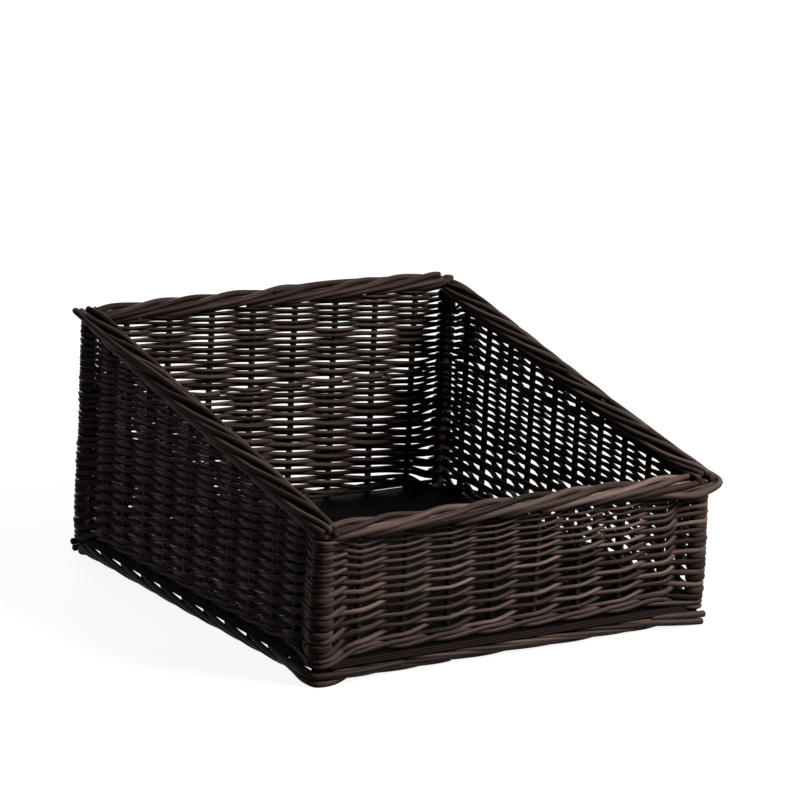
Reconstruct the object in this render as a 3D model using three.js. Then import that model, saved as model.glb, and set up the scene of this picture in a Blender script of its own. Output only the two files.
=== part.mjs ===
// A sloped willow display basket for bread: a plywood floor board with willow stakes standing in its
// holes, four woven walls threaded on the stakes, stout corner posts, and pairs of border rods above
// and single border rods below. Millimetres, +Z up, front towards -Y, origin on the ground under the middle.
import * as THREE from 'three';

// Overall sizes, measured over the woven corners and to the top of the border rods
const WIDTH = 394;
const DEPTH = 410;
const FRONT_HEIGHT = 135;
const BACK_HEIGHT = 225;

// Thicknesses of the rods and of the board
const WEAVER_DIAMETER = 4.5;
const STAKE_DIAMETER = 6.5;
const POST_DIAMETER = 12;
const RIM_ROD_DIAMETER = 11;
const FOOT_ROD_DIAMETER = 8.5;
const BOARD_THICKNESS = 6;

// Stakes between two corner posts, and the first one's distance from the post, centre to centre
const FRONT_STAKE_COUNT = 8;
const SIDE_STAKE_COUNT = 10;
const STAKE_TO_POST = 35.5;

// The weave: a wale of stouter rods at the foot of the walls, then rows numbered from the lowest. Rods thin
// out towards their tips, so rows get lower until a second course of rods starts, at row 30. A row's
// height is listed for some rows of each wall, as [row, height], and changes evenly between them.
const WALE_LIFT = 1.8;
const WALE_HEIGHT = 8;
const ROW_HEIGHTS = {
  front: [[0, 4.6], [10, 3.9], [20, 2.7], [29, 2.3], [30, 2.8], [58, 2.5]],
  right: [[0, 5.8], [8, 4.4], [16, 3.2], [29, 3.0], [30, 4.0], [38, 3.3], [58, 3.1]],
  back: [[0, 4.1], [12, 3.85], [20, 3.4], [26, 2.6], [29, 2.3], [30, 3.7], [44, 2.8], [58, 2.6]],
  left: [[0, 5.1], [10, 4.4], [20, 3.25], [26, 2.6], [58, 2.5]],
};

// Least cover over a stake in the hollows between the rows that pass it
const HOLLOW_COVER = 1.1;

// How far the foot rods hang clear of the ground, and how far rod tips stand out at the corners
const FOOT_ROD_LIFT = 5;
const FOOT_ROD_TIP = 7;
const RIM_ROD_TIP = 10;
const ROD_END_CHAMFER = 1.2;
const BOARD_EDGE_INSET = 4;

// Room left between pieces that lie against each other
const CLEARANCE = 0.3;

// Facets
const STAKE_SIDES = 8;
const POST_SIDES = 12;
const ROD_SIDES = 12;
const CORNER_STEPS = 8;

// Places worked out from the sizes above
const cornerRadius = POST_DIAMETER / 2 + CLEARANCE + WEAVER_DIAMETER;
const postX = WIDTH / 2 - cornerRadius;
const postY = DEPTH / 2 - cornerRadius;
const boardBottom = FOOT_ROD_LIFT + FOOT_ROD_DIAMETER + CLEARANCE;
const boardTop = boardBottom + BOARD_THICKNESS;
const weaveBottom = boardTop + CLEARANCE;
const rimRise = (BACK_HEIGHT - FRONT_HEIGHT) / DEPTH;
const rimAngle = Math.atan(rimRise);
const rimOffset = (RIM_ROD_DIAMETER + CLEARANCE) / 2;
const rimReach = RIM_ROD_DIAMETER + CLEARANCE / 2;
const footOffset = Math.max(POST_DIAMETER, STAKE_DIAMETER) / 2 + CLEARANCE + FOOT_ROD_DIAMETER / 2;
const footZ = FOOT_ROD_LIFT + FOOT_ROD_DIAMETER / 2;

// Half the thickness of a woven wall: in the hollows at a stake, and between two stakes where rods cross
const stakeChannel = STAKE_DIAMETER / 2 + CLEARANCE;
const hollowDepth = stakeChannel + HOLLOW_COVER;
const crossingDepth = WEAVER_DIAMETER / 2;
const waleBottom = boardTop + WALE_LIFT;
const rowsBottom = waleBottom + WALE_HEIGHT;

const willow = { color: 0x3b2a24, roughness: 0.5, metalness: 0 };
const weave = { color: 0x31231e, roughness: 0.55, metalness: 0 };
const plywood = { color: 0x2b211d, roughness: 0.7, metalness: 0 };

const basket = new THREE.Group();

function addPiece(name, geometry, finish) {
  const mesh = new THREE.Mesh(geometry, new THREE.MeshStandardMaterial(finish));
  mesh.name = name;
  basket.add(mesh);
  return mesh;
}

// Corners of a regular polygon around a centre, with flats facing the axes
function ring(x, y, radius, sides) {
  return Array.from({ length: sides }, (_, i) => {
    const angle = ((i + 0.5) / sides) * 2 * Math.PI;
    return new THREE.Vector2(x + radius * Math.cos(angle), y + radius * Math.sin(angle));
  });
}

// A prism on a plan outline with holes, from a level bottom up to a height given at each place along Y
function upright(outline, holes, bottom, topAt) {
  const shape = new THREE.Shape(outline);
  shape.holes = holes.map((points) => new THREE.Path(points));
  const geometry = new THREE.ExtrudeGeometry(shape, { depth: 1, bevelEnabled: false });
  const places = geometry.attributes.position;
  for (let i = 0; i < places.count; i += 1) {
    places.setZ(i, places.getZ(i) < 0.5 ? bottom : topAt(places.getY(i)));
  }
  geometry.computeVertexNormals();
  return geometry;
}

// Heights of the underside of the border rods
const frontRimUnderside = FRONT_HEIGHT - RIM_ROD_DIAMETER;
const backRimUnderside = BACK_HEIGHT - RIM_ROD_DIAMETER;
const sideRimTop = (y) => FRONT_HEIGHT + rimRise * (y + DEPTH / 2);
const sideRimUnderside = (y) => sideRimTop(y) - RIM_ROD_DIAMETER / Math.cos(rimAngle);
const belowFrontRim = () => frontRimUnderside - CLEARANCE;
const belowBackRim = () => backRimUnderside - CLEARANCE;
const belowSideRim = (y) => sideRimUnderside(y) - CLEARANCE;

// Stake places along each wall, evenly spaced between the first and the last
const frontSpacing = (2 * (postX - STAKE_TO_POST)) / (FRONT_STAKE_COUNT - 1);
const sideSpacing = (2 * (postY - STAKE_TO_POST)) / (SIDE_STAKE_COUNT - 1);
const stakePlaces = (count, spacing) => {
  const middle = (count - 1) / 2;
  return Array.from({ length: count }, (_, i) => (i - middle) * spacing);
};
const frontStakes = stakePlaces(FRONT_STAKE_COUNT, frontSpacing);
const sideStakes = stakePlaces(SIDE_STAKE_COUNT, sideSpacing);

// Height taken up by one row of a wall's weave; rows above the last one listed go on like it
function rowHeight(wall, row) {
  const listed = ROW_HEIGHTS[wall];
  const next = listed.findIndex(([listedRow]) => listedRow > row);
  if (next < 0) {
    return listed.at(-1)[1];
  }
  const [from, first] = listed[next - 1];
  const [to, last] = listed[next];
  return first + ((last - first) * (row - from)) / (to - from);
}

// Heights and depths of one upright line on a woven face, side 1 outside and -1 inside. At a stake, every
// other row passes on this side as a ridge and the rows between leave hollows.
function faceLevels(wall, side, atStake, top) {
  const levels = [[weaveBottom, atStake ? hollowDepth : crossingDepth]];
  if (atStake) {
    levels.push([waleBottom + WALE_HEIGHT / 2, stakeChannel + WEAVER_DIAMETER]);
  }
  levels.push([rowsBottom, atStake ? hollowDepth : crossingDepth]);
  let bottom = rowsBottom;
  let rodThickness = WEAVER_DIAMETER;
  for (let row = 0; bottom + rowHeight(wall, row) < top; row += 1) {
    const height = rowHeight(wall, row);
    const passesHere = (row % 2 === 0) === (side > 0);
    rodThickness = Math.min(height, WEAVER_DIAMETER);
    if (atStake) {
      levels.push([bottom + height / 2, passesHere ? stakeChannel + rodThickness : hollowDepth]);
    } else if (passesHere) {
      levels.push([bottom + height / 2, rodThickness / 2]);
    }
    bottom += height;
  }
  levels.push([top, atStake ? hollowDepth : rodThickness / 2]);
  return levels;
}

// Places along a wall where its faces get an upright line: both ends, each stake and half way between stakes
function wallSpots(end, stakes) {
  const between = stakes.slice(1).map((stake, i) => (stake + stakes[i]) / 2);
  const spots = [
    ...[-end, ...between, end].map((run) => ({ run, atStake: false })),
    ...stakes.map((run) => ({ run, atStake: true })),
  ];
  return spots.sort((a, b) => a.run - b.run);
}

// Triangles between two upright lines of points, the second one to the right seen from outside
function stripBetween(left, right) {
  const corners = [];
  let i = 0;
  let j = 0;
  while (i < left.length - 1 || j < right.length - 1) {
    const rightEnded = j === right.length - 1;
    if (rightEnded || (i < left.length - 1 && left[i + 1].z < right[j + 1].z)) {
      corners.push(left[i], right[j], left[i + 1]);
      i += 1;
    } else {
      corners.push(left[i], right[j], right[j + 1]);
      j += 1;
    }
  }
  return corners;
}

// Triangles of the top or bottom of a solid with channels through it
function capFaces(outline, holes, facesUp) {
  const points = [...outline, ...holes.flat()];
  return THREE.ShapeUtils.triangulateShape([...outline], holes.map((hole) => [...hole])).flatMap((face) => {
    const [a, b, c] = face.map((index) => points[index]);
    const turnsLeft = (b.x - a.x) * (c.y - a.y) > (b.y - a.y) * (c.x - a.x);
    return turnsLeft === facesUp ? [a, b, c] : [a, c, b];
  });
}

// A solid inside a ring of upright lines, which run anticlockwise, with channels through it
function fromLines(lines, channels) {
  const rings = [lines, ...channels.map((channel) => [...channel].reverse())];
  const sides = rings.flatMap((lineRing) => (
    lineRing.flatMap((line, i) => stripBetween(line, lineRing[(i + 1) % lineRing.length]))
  ));
  const tops = (lineRing) => lineRing.map((line) => line.at(-1));
  const bottoms = (lineRing) => lineRing.map((line) => line[0]);
  const upper = capFaces(tops(lines), channels.map(tops), true);
  const lower = capFaces(bottoms(lines), channels.map(bottoms), false);
  const geometry = new THREE.BufferGeometry().setFromPoints([...sides, ...upper, ...lower]);
  geometry.computeVertexNormals();
  return geometry;
}

// A plain upright line from the foot of the weave to the underside of the rim
function plainLine(point, topAt) {
  return [
    new THREE.Vector3(point.x, point.y, weaveBottom),
    new THREE.Vector3(point.x, point.y, topAt(point.y)),
  ];
}

// The floor board: corners cut back to the corner posts, each with a round seat for its post
function baseBoard() {
  const halfX = WIDTH / 2 - BOARD_EDGE_INSET;
  const halfY = DEPTH / 2 - BOARD_EDGE_INSET;
  const cut = halfX - postX + halfY - postY;
  const seat = POST_DIAMETER / 2 + CLEARANCE;
  const quarters = [[1, 1], [-1, 1], [-1, -1], [1, -1]];
  const outline = quarters.flatMap(([signX, signY]) => {
    const turn = signX * signY;
    const towards = Math.atan2(signY, signX);
    const seatArc = Array.from({ length: CORNER_STEPS + 1 }, (_, i) => {
      const angle = towards - turn * (Math.PI / 2 + (Math.PI * i) / CORNER_STEPS);
      return new THREE.Vector2(
        signX * postX + seat * Math.cos(angle),
        signY * postY + seat * Math.sin(angle),
      );
    });
    const corner = [
      new THREE.Vector2(signX * halfX, signY * (halfY - cut)),
      ...seatArc,
      new THREE.Vector2(signX * (halfX - cut), signY * halfY),
    ];
    return turn > 0 ? corner : corner.reverse();
  });
  const hole = (x, y) => ring(x, y, stakeChannel, STAKE_SIDES);
  const holes = [
    ...frontStakes.flatMap((x) => [hole(x, -postY), hole(x, postY)]),
    ...sideStakes.flatMap((y) => [hole(-postX, y), hole(postX, y)]),
  ];
  addPiece('base_board', upright(outline, holes, boardBottom, () => boardTop), plywood);
}

function cornerPosts() {
  for (const [endName, y] of [['front', -postY], ['back', postY]]) {
    for (const [sideName, x] of [['left', -postX], ['right', postX]]) {
      const post = upright(ring(x, y, POST_DIAMETER / 2, POST_SIDES), [], 0, belowSideRim);
      addPiece(`corner_post_${endName}_${sideName}`, post, willow);
    }
  }
}

function stake(name, x, y, topAt) {
  const outline = ring(x, y, STAKE_DIAMETER / 2, STAKE_SIDES);
  addPiece(name, upright(outline, [], FOOT_ROD_LIFT, topAt), willow);
}

function stakes() {
  frontStakes.forEach((x, i) => stake(`front_stake_${i + 1}`, x, -postY, belowFrontRim));
  frontStakes.forEach((x, i) => stake(`back_stake_${i + 1}`, x, postY, belowBackRim));
  sideStakes.forEach((y, i) => stake(`left_stake_${i + 1}`, -postX, y, belowSideRim));
  sideStakes.forEach((y, i) => stake(`right_stake_${i + 1}`, postX, y, belowSideRim));
}

// A front or back wall: it fits between the corner posts' woven sleeves and is threaded on its stakes
function crossWeave(wall, wallY, topAt) {
  const end = postX - Math.max(cornerRadius, rimReach) - CLEARANCE;
  const face = (direction) => wallSpots(end, frontStakes).map(({ run, atStake }) => {
    const levels = faceLevels(wall, direction * Math.sign(wallY), atStake, topAt(wallY));
    return levels.map(([z, depth]) => new THREE.Vector3(run, wallY + direction * depth, z));
  });
  const channels = frontStakes.map((x) => (
    ring(x, wallY, stakeChannel, STAKE_SIDES).map((point) => plainLine(point, topAt))
  ));
  addPiece(`${wall}_weave`, fromLines([...face(-1), ...face(1).reverse()], channels), weave);
}

// A side wall: it is threaded on its stakes and closes round the corner post at each end
function sideWeave(wall, wallX) {
  const sleeveHalfTurn = 0.75 * Math.PI;
  const face = (direction) => wallSpots(postY - cornerRadius, sideStakes).map(({ run, atStake }) => {
    const levels = faceLevels(wall, direction * Math.sign(wallX), atStake, belowSideRim(run));
    return levels.map(([z, depth]) => new THREE.Vector3(wallX + direction * depth, run, z));
  });
  const sleeve = (sign) => Array.from({ length: 2 * CORNER_STEPS + 1 }, (_, i) => {
    const angle = sign * (Math.PI / 2) + (i / CORNER_STEPS - 1) * sleeveHalfTurn;
    const reach = new THREE.Vector2(cornerRadius * Math.cos(angle), cornerRadius * Math.sin(angle));
    return plainLine(reach.add(new THREE.Vector2(wallX, sign * postY)), belowSideRim);
  });
  const channel = (y, radius, sides) => (
    ring(wallX, y, radius, sides).map((point) => plainLine(point, belowSideRim))
  );
  const channels = [
    ...sideStakes.map((y) => channel(y, stakeChannel, STAKE_SIDES)),
    ...[-postY, postY].map((y) => channel(y, POST_DIAMETER / 2 + CLEARANCE, POST_SIDES)),
  ];
  const lines = [...face(1), ...sleeve(1), ...face(-1).reverse(), ...sleeve(-1)];
  addPiece(`${wall}_weave`, fromLines(lines, channels), weave);
}

// A straight rod along its own Y axis with chamfered ends
function rod(length, diameter) {
  const radius = diameter / 2;
  const chamfer = Math.min(ROD_END_CHAMFER, radius / 2);
  const profile = [
    [0, -length / 2],
    [radius - chamfer, -length / 2],
    [radius, -length / 2 + chamfer],
    [radius, length / 2 - chamfer],
    [radius - chamfer, length / 2],
    [0, length / 2],
  ];
  return new THREE.LatheGeometry(profile.map(([r, y]) => new THREE.Vector2(r, y)), ROD_SIDES);
}

// Two border rods side by side along the top of each wall; the side pairs slope and stand out at their tips
function rimRods() {
  const crossLength = 2 * (postX - rimReach - CLEARANCE);
  const sideLength = (DEPTH + 2 * RIM_ROD_TIP) / Math.cos(rimAngle);
  const sideMiddle = sideRimTop(0) - RIM_ROD_DIAMETER / 2 / Math.cos(rimAngle);
  for (const [place, outward] of [['outer', 1], ['inner', -1]]) {
    for (const [name, sign, top] of [['front', -1, FRONT_HEIGHT], ['back', 1, BACK_HEIGHT]]) {
      const piece = addPiece(`${name}_rim_${place}`, rod(crossLength, RIM_ROD_DIAMETER), willow);
      piece.rotation.z = Math.PI / 2;
      piece.position.set(0, sign * (postY + outward * rimOffset), top - RIM_ROD_DIAMETER / 2);
    }
    for (const [name, sign] of [['left', -1], ['right', 1]]) {
      const piece = addPiece(`${name}_rim_${place}`, rod(sideLength, RIM_ROD_DIAMETER), willow);
      piece.rotation.x = rimAngle;
      piece.position.set(sign * (postX + outward * rimOffset), 0, sideMiddle);
    }
  }
}

// Foot rods under the board's edge, outside the posts; the front and back ones run past the corners
function footRods() {
  const crossLength = WIDTH + 2 * FOOT_ROD_TIP;
  const sideLength = 2 * (postY + footOffset - FOOT_ROD_DIAMETER / 2 - CLEARANCE);
  for (const [name, sign] of [['front', -1], ['back', 1]]) {
    const piece = addPiece(`${name}_foot_rod`, rod(crossLength, FOOT_ROD_DIAMETER), willow);
    piece.rotation.z = Math.PI / 2;
    piece.position.set(0, sign * (postY + footOffset), footZ);
  }
  for (const [name, sign] of [['left', -1], ['right', 1]]) {
    const piece = addPiece(`${name}_foot_rod`, rod(sideLength, FOOT_ROD_DIAMETER), willow);
    piece.position.set(sign * (postX + footOffset), 0, footZ);
  }
}

baseBoard();
cornerPosts();
stakes();
crossWeave('front', -postY, belowFrontRim);
crossWeave('back', postY, belowBackRim);
sideWeave('left', -postX);
sideWeave('right', postX);
rimRods();
footRods();

export default basket;
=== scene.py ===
"""A sloped willow display basket for bread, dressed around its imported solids.

Every rod is modelled: rows of weaving rods pass in and out of the stakes, stake ends make the borders.
Lengths are metres, +Z is up and the low front faces -Y. Walls and supports run anticlockwise seen from above.
"""
import math
import random
from collections import namedtuple

import bmesh
import bpy
import numpy as np
from mathutils import Matrix, Vector


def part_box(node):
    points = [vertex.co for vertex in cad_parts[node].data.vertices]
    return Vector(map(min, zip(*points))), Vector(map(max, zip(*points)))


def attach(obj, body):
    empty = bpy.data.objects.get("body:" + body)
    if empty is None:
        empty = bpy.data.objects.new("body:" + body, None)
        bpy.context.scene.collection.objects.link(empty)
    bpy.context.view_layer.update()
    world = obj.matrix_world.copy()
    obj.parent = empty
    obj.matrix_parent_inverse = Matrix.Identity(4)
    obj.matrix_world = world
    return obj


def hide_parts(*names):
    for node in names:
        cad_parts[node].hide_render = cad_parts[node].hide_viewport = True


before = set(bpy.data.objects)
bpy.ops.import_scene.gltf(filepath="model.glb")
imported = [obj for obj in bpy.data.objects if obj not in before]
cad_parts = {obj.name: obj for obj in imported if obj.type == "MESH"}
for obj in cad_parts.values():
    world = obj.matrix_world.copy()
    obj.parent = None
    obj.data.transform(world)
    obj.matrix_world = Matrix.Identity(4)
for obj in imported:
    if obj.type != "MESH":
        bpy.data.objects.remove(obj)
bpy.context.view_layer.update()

MM = 0.001
SEED = 41
FRONT_STAKES = 8
SIDE_STAKES = 10
SLOPED_WALLS = ("left", "right")
# Steps of this share give neighbouring rods unlike tones
GOLDEN = 0.618
# Painted light and shade: how much lighter or darker the rods of each wall, of its top border and of the foot
# borders are made for how the light falls on them
WALL_PAINTED_LIGHT = {"front": 1.05, "right": 0.9, "back": 0.6, "left": 0.8}
RIM_PAINTED_LIGHT = {"front": 1.1, "right": 0.85, "back": 0.38, "left": 0.65}
FOOT_PAINTED_SHADE = 0.75

# The weave: every rod climbs one row from a stake to the next, and a second course of rods starts at row 30.
# A row's height in millimetres is listed for some rows of each wall and of the posts, as (row, height).
ROWS = 58
COURSE_STARTS = (0, 30)
ROW_HEIGHTS = {
    "front": ((0, 4.6), (10, 3.9), (20, 2.7), (29, 2.3), (30, 2.8), (58, 2.5)),
    "right": ((0, 5.8), (8, 4.4), (16, 3.2), (29, 3.0), (30, 4.0), (38, 3.3), (58, 3.1)),
    "back": ((0, 4.1), (12, 3.85), (20, 3.4), (26, 2.6), (29, 2.3), (30, 3.7), (44, 2.8), (58, 2.6)),
    "left": ((0, 5.1), (10, 4.4), (20, 3.25), (26, 2.6), (58, 2.5)),
}
POST_HEIGHTS = ((0, 5.8), (10, 4.3), (20, 3.0), (29, 2.5), (30, 3.2), (58, 2.7))
# How much lower rows and wale lie at the posts, and how far below a border's top the rows end
POST_DROP = 6.5 * MM
RIM_DEPTH = 13.0 * MM
# How thick the weave is outside the posts
POST_COVER = 4.8 * MM

# How much of a row's height its rod fills on each wall, up to a stoutest rod
TIGHTNESS = {"front": 0.9, "right": 1.16, "back": 1.16, "left": 1.12}
STOUTEST = {"front": 3.6 * MM, "right": 4.5 * MM, "back": 4.3 * MM, "left": 4.6 * MM}
# How near rods pass the stakes of each wall and the posts, where 1 only touches
HUG = {"front": 0.84, "right": 0.84, "back": 0.84, "left": 0.68}
POST_HUG = 1.0
# How steeply rods come to the outside of a stake and leave it; on the left wall they climb evenly
STAKE_SLOPES = {"front": (0.0, 0.12), "right": (0.0, 0.14), "back": (0.0, 0.14), "left": None}
# How much of a row higher rods pass on the inside of a stake
INSIDE_RAISE = {"front": 0.36, "right": 0.4, "back": 0.33, "left": -0.3}
# How far from a post rods start to bend on its inside
INSIDE_BEND = 8.0 * MM
# How much of a row's height a rod's band round the outside of a post fills
BAND_FILL = 0.95
# How flat rods are pressed where they bend round a post, from 1 for round to 0 for square
BAND_ROUND = 0.68
# How much taller than wide rods are pressed beside the posts of each wall, where rows crowd together
CROWDED = {"front": 1.35, "right": 1.15, "back": 1.0, "left": 1.35}
# How far a rod's thick and thin ends run past its last supports
BUTT_TAIL = 8.0 * MM
TIP_TAIL = 5.0 * MM
# How single rods differ in thickness, in height, in height at each support and in tone
ROD_THICKNESS = (0.86, 1.1)
ROD_SHIFT = 0.6 * MM
KNOT_SHIFT = 0.25 * MM
TONE_SCATTER = 0.3

# The wale round the foot of the walls, and the shares of its height at which a rod passes inside a stake
# and outside the next two
WALE_ABOVE_BOARD = 1.8 * MM
WALE_HEIGHT = 8.0 * MM
WALE_RADIUS = 2.0 * MM
WALE_SHARES = (0.5, 0.2, 0.72)
WALE_SHIFT = 0.3 * MM
WALE_TONES = (0.3, 0.6)

# Extra turns of rod round the posts: largest radius, radians each way, how far they sink into the post, and
# how they differ; their tones are kept low as painted shade
TURN_STOUTEST = 2.6 * MM
TURN_SWEEP = 2.1
TURN_POINTS = 23
TURN_PRESS = 0.2 * MM
TURN_TILT = 0.5 * MM
TURN_THICKNESS = (0.97, 1.03)
TURN_SHADED_TONES = (0.05, 0.6)

# The rod along the slope under each side border
SLOPE_ROD = 1.7 * MM
SLOPE_ROD_RAISE = 0.5 * MM
SLOPE_ROD_TAIL = 24 * MM

# Facets of the rods, and the bevel of their cut ends as a share of their radius
ROD_STEP = 4.2 * MM
PATH_STEP = 4.0 * MM
FEWEST_STEPS = 3
ROD_SIDES = 9
STOUT_SIDES = 14
SHARP_ANGLE = math.radians(50)
BEVEL = 0.22
# Rods steeper than this take their cross directions step by step, from a direction that lies across them all
STEEP = 0.95
ACROSS = (0.3, 0.8, 0.52)
# Moves the streaks of rods of unlike tone apart
GRAIN_SHIFT = 7.3

# Ropes of bent stake ends: rods lie flat along the sides of a rope, turn quickly over its top and bottom,
# and are drawn in at its ends
ROPE_PINCH = 0.24
ROPE_DRAW = 0.4
ROPE_DRAW_REACH = 9 * MM
ROPE_STEP = 6 * MM
FEWEST_POINTS = 5
# How the rods of a rope differ: degrees of turn, looseness, stakes passed, places of their cuts and thickness
ROPE_TURN = 8
ROPE_LOOSENESS = (0.94, 1.07)
ROPE_SPAN_SHIFT = 0.3
ROPE_CUT_SHIFT = 3 * MM
ROPE_THICKNESS = (0.92, 1.06)

# The top border: how many stakes a rod passes, the degrees between which it turns, and the rope's size
RIM_SPANS = {"front": 5.4, "right": 6.6, "back": 5.4, "left": 6.6}
RIM_ANGLES = (-70, 262)
RIM_HALF_WIDTH = 8.6 * MM
RIM_HALF_HEIGHT = 6.2 * MM
RIM_ROD = (3.1 * MM, 2.3 * MM)
RIM_RAISE = 0.5 * MM
RIM_SAG = {"front": 0.0, "right": 3.0 * MM, "back": 0.0, "left": 0.0}
# For each wall's top border: how far it runs past its two posts, and how far it is lifted there
RIM_ENDS = {
    "front": (2 * MM, 8 * MM, 0.0, -2.5 * MM),
    "right": (13 * MM, 1 * MM, 4 * MM, -4 * MM),
    "back": (-4 * MM, 4 * MM, -0.5 * MM, -3 * MM),
    "left": (5 * MM, 10 * MM, 3 * MM, 0.0),
}
# How far along the border the lift fades
LIFT_REACH = 28 * MM
# Two rods inside the rope: radius, distance from its middle, inset of the ends, and waves as
# (size, radians a metre)
RIM_CORE = 2.9 * MM
RIM_CORE_OFFSET = 2.8 * MM
RIM_CORE_INSET = 2 * MM
RIM_CORE_WAVE = (0.8 * MM, 60)
RIM_CORE_POINTS = 60
# One or two rods come round the first post into each top border but the front one: how far from the post's
# middle, how much they rise there, how far above the next border's middle they aim, and radius at both ends
CORNER_REACH = {"right": (17.5 * MM, 11.5 * MM), "back": (10 * MM,), "left": (14 * MM, 9 * MM)}
CORNER_RISE = {"right": 0.0, "back": 0.0, "left": 5 * MM}
CORNER_ABOVE = 2 * MM
CORNER_ROD = (3.2 * MM, 2.4 * MM)
# Their course in millimetres: distance from the post, outward and up from the middle of the border.
# At the last place before the post they stand less far out than at the corner.
CORNER_COMING = ((90, 3.0, -4), (45, 6.5, -6))
CORNER_LAST = (6, -3, -5)
CORNER_GOING = ((8, 9.5, 0.5), (30, 9.5, 1.5), (75, 8.0, 3.5), (130, 4.0, 6.2), (190, -3.0, 6.0))

# The foot border under the board, in the same terms as the top border
FOOT_SPANS = {"front": 3.4, "right": 2.9, "back": 3.4, "left": 2.9}
FOOT_ANGLES = (80, -95)
FOOT_RAISE = 0.5 * MM
FOOT_HALF_WIDTH = 5.5 * MM
FOOT_ROD = (2.4 * MM, 2.0 * MM)
FOOT_CLEARANCE = {"front": 1.0 * MM, "right": 0.6 * MM, "back": 1.0 * MM, "left": 0.6 * MM}
FOOT_ENDS = {
    "front": (-6 * MM, -4 * MM),
    "right": (0.0, -6 * MM),
    "back": (-6 * MM, -4 * MM),
    "left": (4 * MM, -6 * MM),
}
FOOT_CORE = 2.7 * MM
FOOT_CORE_WAVE = (0.5 * MM, 70)
FOOT_CORE_POINTS = 50
# Foot rods that come round a post, in millimetres: lowest height, radius, and where they end along the wall,
# outward and above the lowest height
FOOT_TURNS = ((3.1, 3.0, 30, 3, 4.6), (8.8, 3.1, 75, 8, 0.9))
FOOT_TURN_TAPER = 0.92
# Foot rods cut off at a post: radius, and places in millimetres past the post, outward and up
FOOT_TAILS = (
    (3.0, ((-45, 4.0, 11.6), (-24, 6.5, 11.0), (0, 8.6, 10.2), (8, 8.6, 9.8))),
    (2.9, ((-78, 1.0, 8.5), (-48, 5.5, 8.2), (-22, 8.2, 6.0), (-2, 8.8, 4.2), (6, 8.8, 3.6))),
)
FOOT_TAIL_TONE = 0.45

# Uprights: sway and ripple as (size, radians a metre), begun anywhere in a phase, and the share of the
# radius that is left at the top
UPRIGHT_STEP = 9 * MM
FEWEST_RINGS = 8
UPRIGHT_SWAY = (0.25 * MM, 55)
UPRIGHT_RIPPLE = (0.012, 190)
UPRIGHT_PHASE = 6
UPRIGHT_TAPER = 0.9

# The board's veneers and the grooves between them
VENEERS = 3
GROOVE_HALF_HEIGHT = 0.18 * MM
GROOVE_DEPTH = 0.45 * MM
# How near points count as the same, as lying on a cut and as lying on the board's edge
SAME_POINT = 1e-6
ON_CUT = 1e-7
ON_EDGE = 1e-5
# Faces that meet at less than this are made one
FLAT_ANGLE = math.radians(1)

# Stains from the darkest rods to the light ones, and how much lighter than those the lightest rods are; the
# stakes' colours are the stain made much darker as painted shade, for the gaps between rods where they stand
BORDER_STAIN = ((0.016, 0.0104, 0.0086), (0.076, 0.053, 0.0455))
WEAVE_STAIN = ((0.015, 0.01, 0.0084), (0.073, 0.051, 0.044))
STAKE_STAIN_AND_SHADE = ((0.006, 0.004, 0.0033), (0.022, 0.015, 0.013))
LIGHT_TONE = 0.85
LIGHTEST = 1.7
# Tints over a rod's tone as (value, colour): of its streaks, and painted light by how far its surface faces
# up, from painted shade on its underside to a lighter, greyer painted highlight on its upper side
STREAK_TINTS = ((0.3, (0.5, 0.46, 0.44)), (0.7, (1.25, 1.2, 1.16)))
PAINTED_LIGHT_TINTS = ((0.0, (0.5, 0.42, 0.38)), (0.5, (0.95, 0.92, 0.9)), (1.0, (1.35, 1.38, 1.42)))
PAINTED_LIGHT_SPAN = (-0.6, 0.7)
# The board's colours: the figure of its faces, and its edges from the lines between veneers to their middles
FACE_COLOURS = ((0.3, (0.0014, 0.0011, 0.0009)), (0.75, (0.0055, 0.0043, 0.0034)))
EDGE_COLOURS = ((0.1, (0.002, 0.0015, 0.0012)), (0.4, (0.03, 0.0205, 0.0165)))
# How fine the grain of rods and board is along and across it
WILLOW_GRAIN = (28, 900, 900)
BOARD_GRAIN = (9, 160, 700)
GRAIN_DEPTH = 0.3 * MM

# The camera: angles, distance from the origin, shift of the view sideways and up, and lens in millimetres
VIEW_AZIMUTH = math.radians(-33.79)
VIEW_ELEVATION = math.radians(14.63)
VIEW_ROLL = math.radians(2.757)
VIEW_DISTANCE = 3294.0 * MM
VIEW_SIDE = 15.85 * MM
VIEW_RISE = 162.4 * MM
SENSOR = 36
LENS = 171.33

# Lamps: name, place, width and height, and watts; all are aimed at one point
LAMPS = (
    ("key", (0.85, -1.1, 1.15), (0.7, 0.7), 53),
    ("fill", (-2.4, 0.5, 1.4), (0.8, 0.8), 1.5),
    ("back", (0.5, 2.2, 0.45), (1.2, 0.7), 24),
)
LAMP_AIM = Vector((0, 0, 0.1))
WORLD_LIGHT = 0.015
WHITE = (1, 1, 1, 1)

# The floor: its colour under the lamps, and how bright the camera sees it near the basket and far away
FLOOR_HALF = 9.0
FLOOR_COLOUR = (0.16, 0.16, 0.16, 1)
FLOOR_BRIGHTNESS = (0.91, 1.0)
FLOOR_NEAR_FAR = (0.3, 1.6)

rng = random.Random(SEED)


def scatter(reach):
    return rng.uniform(-reach, reach)


# Supports and walls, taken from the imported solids

Support = namedtuple("Support", "place radius post")
Wall = namedtuple("Wall", "name first last direction outward length")


def centre_and_radius(node):
    low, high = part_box(node)
    middle = (low + high) / 2
    return np.array(middle[:2]), min(high.x - low.x, high.y - low.y) / 2


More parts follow.
